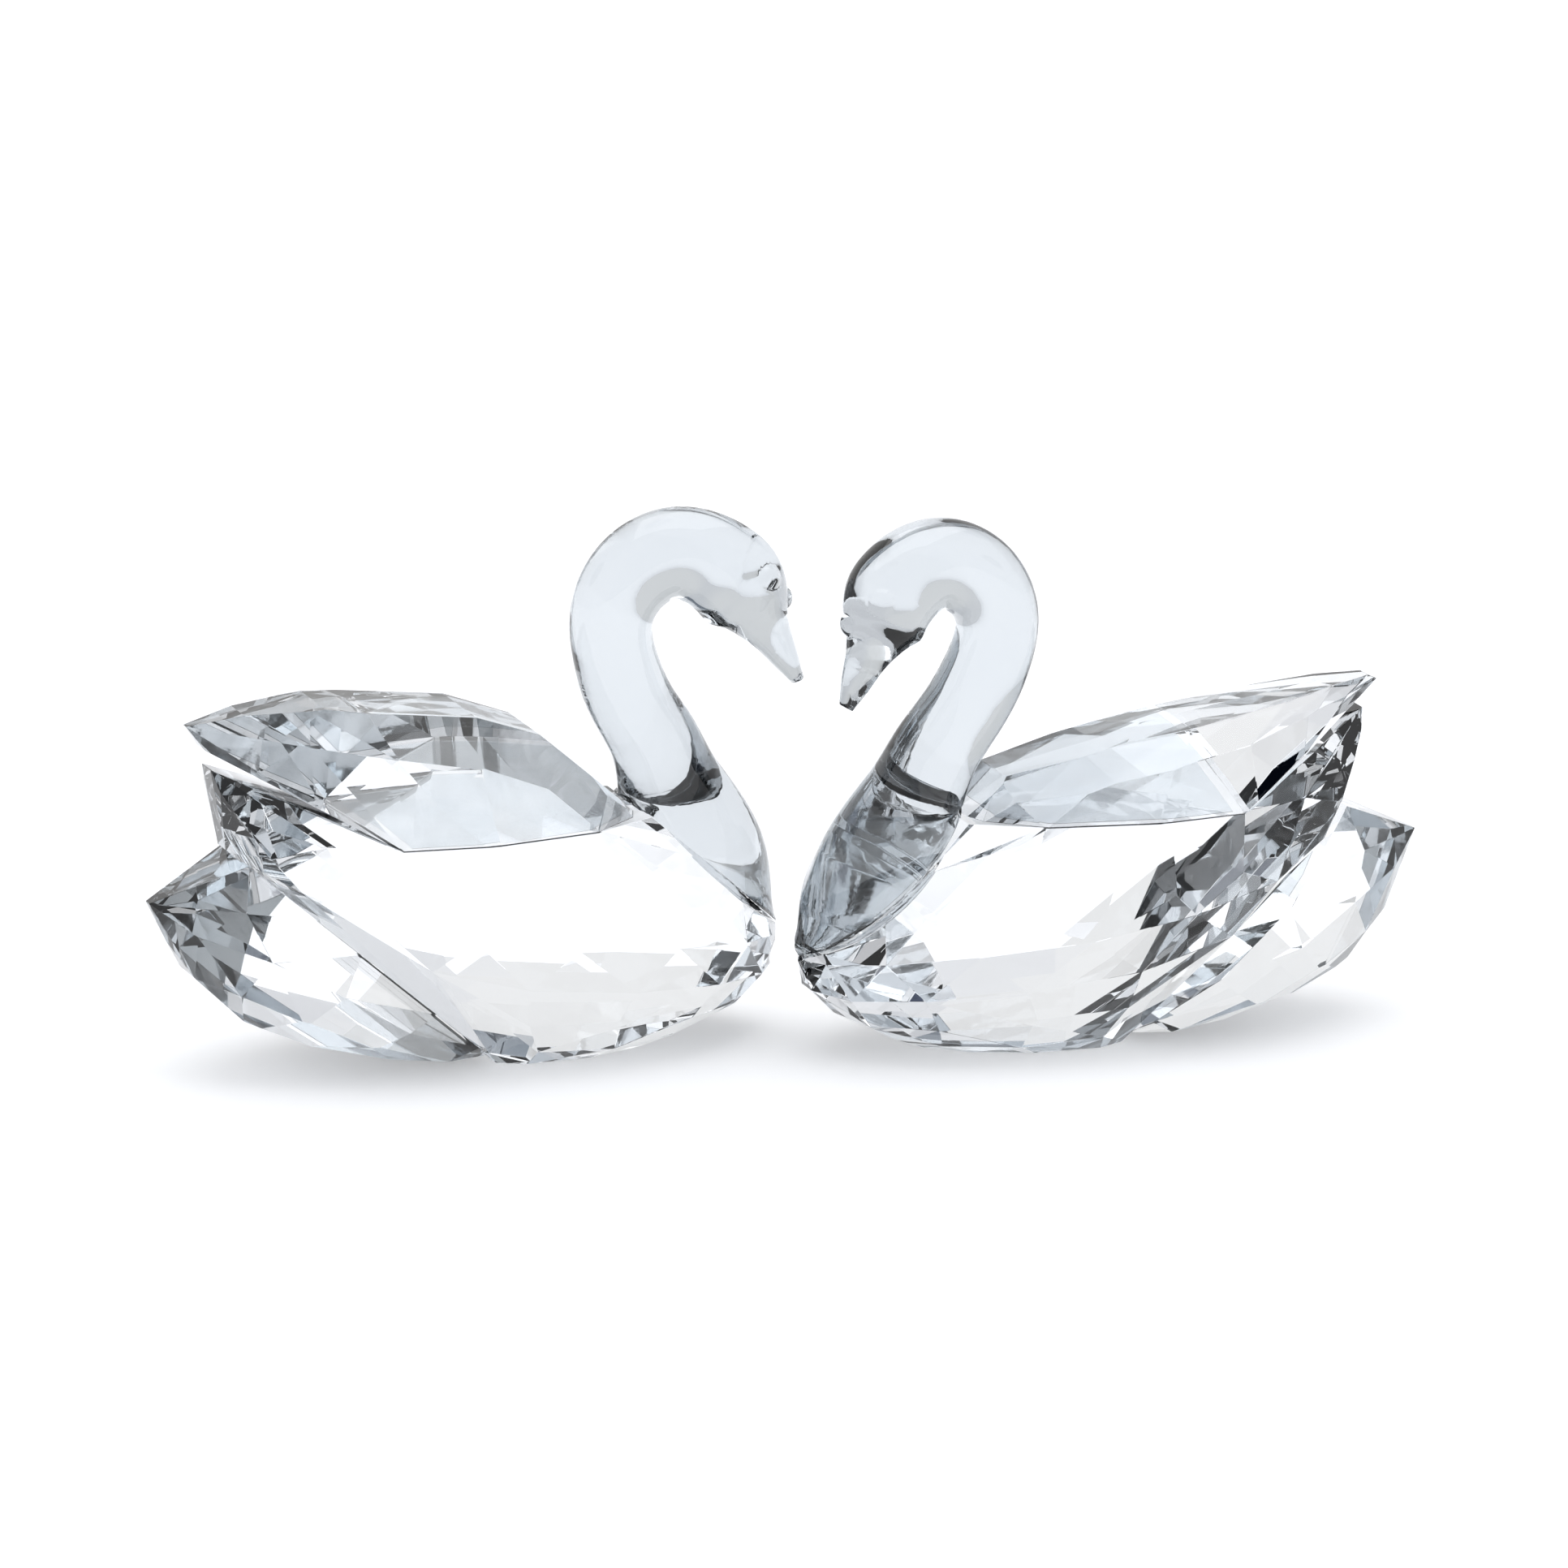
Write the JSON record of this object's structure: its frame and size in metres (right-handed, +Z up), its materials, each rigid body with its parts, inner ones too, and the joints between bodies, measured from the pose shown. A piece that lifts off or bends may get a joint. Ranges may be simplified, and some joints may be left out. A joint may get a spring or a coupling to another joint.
{
  "type": "crystal swan pair figurine",
  "caption": "Pair of faceted clear crystal swans facing each other, smooth bowed glass necks bonded to cut bodies with raised wings and tail.",
  "frame": {"origin": "bottom centre of the pair's bounding box, on the surface the swans stand on", "axes": "+X from the left swan's tail towards the right swan's tail, +Z up, -Y towards the side both necks bow to"},
  "size_m": [0.1086, 0.0368, 0.0461],
  "materials": {
    "cut_crystal": "polished flat facets, water clear",
    "drawn_glass": "fire polished, smooth",
    "clear_adhesive": "cured clear film"
  },
  "bodies": {
    "left_swan": {"left_swan_body": "cut_crystal", "left_swan_wings": "cut_crystal", "left_swan_tail": "cut_crystal", "left_swan_neck": "drawn_glass", "left_swan_neck_adhesive": "clear_adhesive", "left_swan_wing_adhesive": "clear_adhesive", "left_swan_tail_adhesive": "clear_adhesive"},
    "right_swan": {"right_swan_body": "cut_crystal", "right_swan_wings": "cut_crystal", "right_swan_tail": "cut_crystal", "right_swan_neck": "drawn_glass", "right_swan_neck_adhesive": "clear_adhesive", "right_swan_wing_adhesive": "clear_adhesive", "right_swan_tail_adhesive": "clear_adhesive"}
  },
  "joints": [
    {"name": "right_swan_apart", "type": "slide", "parent": "left_swan", "child": "right_swan", "axis": [1, 0, 0], "range_m": [0, 0.05]}
  ]
}
